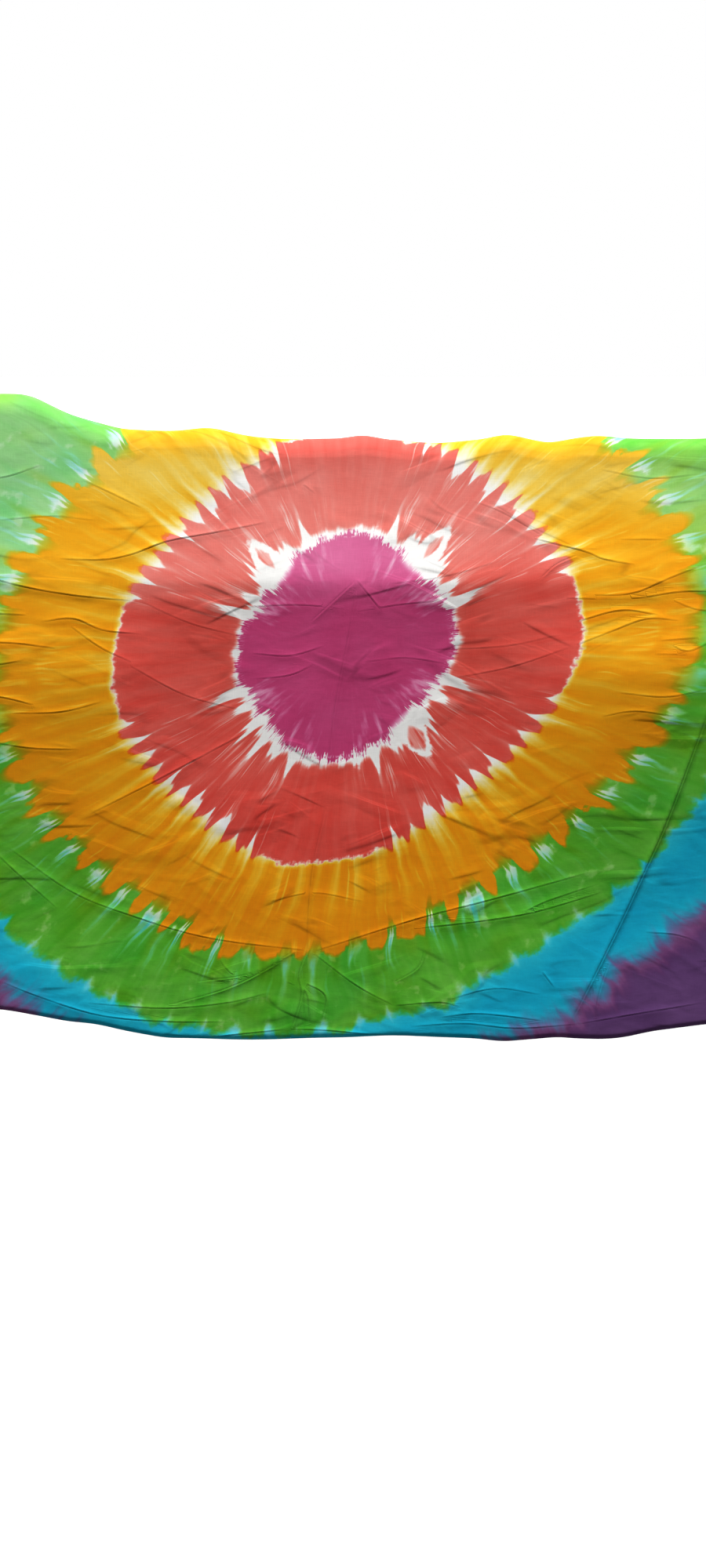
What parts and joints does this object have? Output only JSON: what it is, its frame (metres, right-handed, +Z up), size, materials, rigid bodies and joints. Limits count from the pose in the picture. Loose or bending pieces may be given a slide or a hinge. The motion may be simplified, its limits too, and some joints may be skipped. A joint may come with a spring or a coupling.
{
  "type": "tie-dyed cotton cloth, draped",
  "caption": "Thin cotton cloth tie-dyed in rainbow rings, hemmed all round, draped over a rail with a long front drop tucked under at its foot.",
  "frame": {"origin": "highest point of the ridge's underside on the cloth's middle line, where the cloth sits on its support", "axes": "+Z up, +X along the ridge to the right as seen from the front, -Y towards the viewer of the long front drop"},
  "size_m": [1.524, 0.121, 0.8233],
  "materials": {
    "dyed_cotton": "tie-dyed plain weave, matte",
    "hem_cotton": "tie-dyed plain weave, turned twice",
    "thread": "polyester sewing thread, matte"
  },
  "bodies": {
    "ridge": {"ridge_panel": "dyed_cotton", "front_band": "dyed_cotton", "ridge_left_hem": "hem_cotton", "ridge_right_hem": "hem_cotton", "front_band_left_hem": "hem_cotton", "front_band_right_hem": "hem_cotton", "ridge_left_stitching": "thread", "ridge_right_stitching": "thread"},
    "front_drop": {"front_panel": "dyed_cotton", "tuck_panel": "dyed_cotton", "front_left_hem": "hem_cotton", "front_right_hem": "hem_cotton", "tuck_left_hem": "hem_cotton", "tuck_right_hem": "hem_cotton", "tuck_end_hem": "hem_cotton", "front_left_stitching": "thread", "front_right_stitching": "thread", "tuck_end_stitching": "thread"},
    "back_drop": {"back_panel": "dyed_cotton", "back_left_hem": "hem_cotton", "back_right_hem": "hem_cotton", "back_end_hem": "hem_cotton", "back_left_stitching": "thread", "back_right_stitching": "thread", "back_end_stitching": "thread"}
  },
  "joints": [
    {"name": "front_swing", "type": "hinge", "parent": "ridge", "child": "front_drop", "pos_m": [0, -0.0576, -0.162], "axis": [-1, 0, 0], "range_deg": [0, 25]},
    {"name": "back_swing", "type": "hinge", "parent": "ridge", "child": "back_drop", "pos_m": [0, 0.0206, -0.026], "axis": [1, 0, 0], "range_deg": [0, 30]}
  ]
}
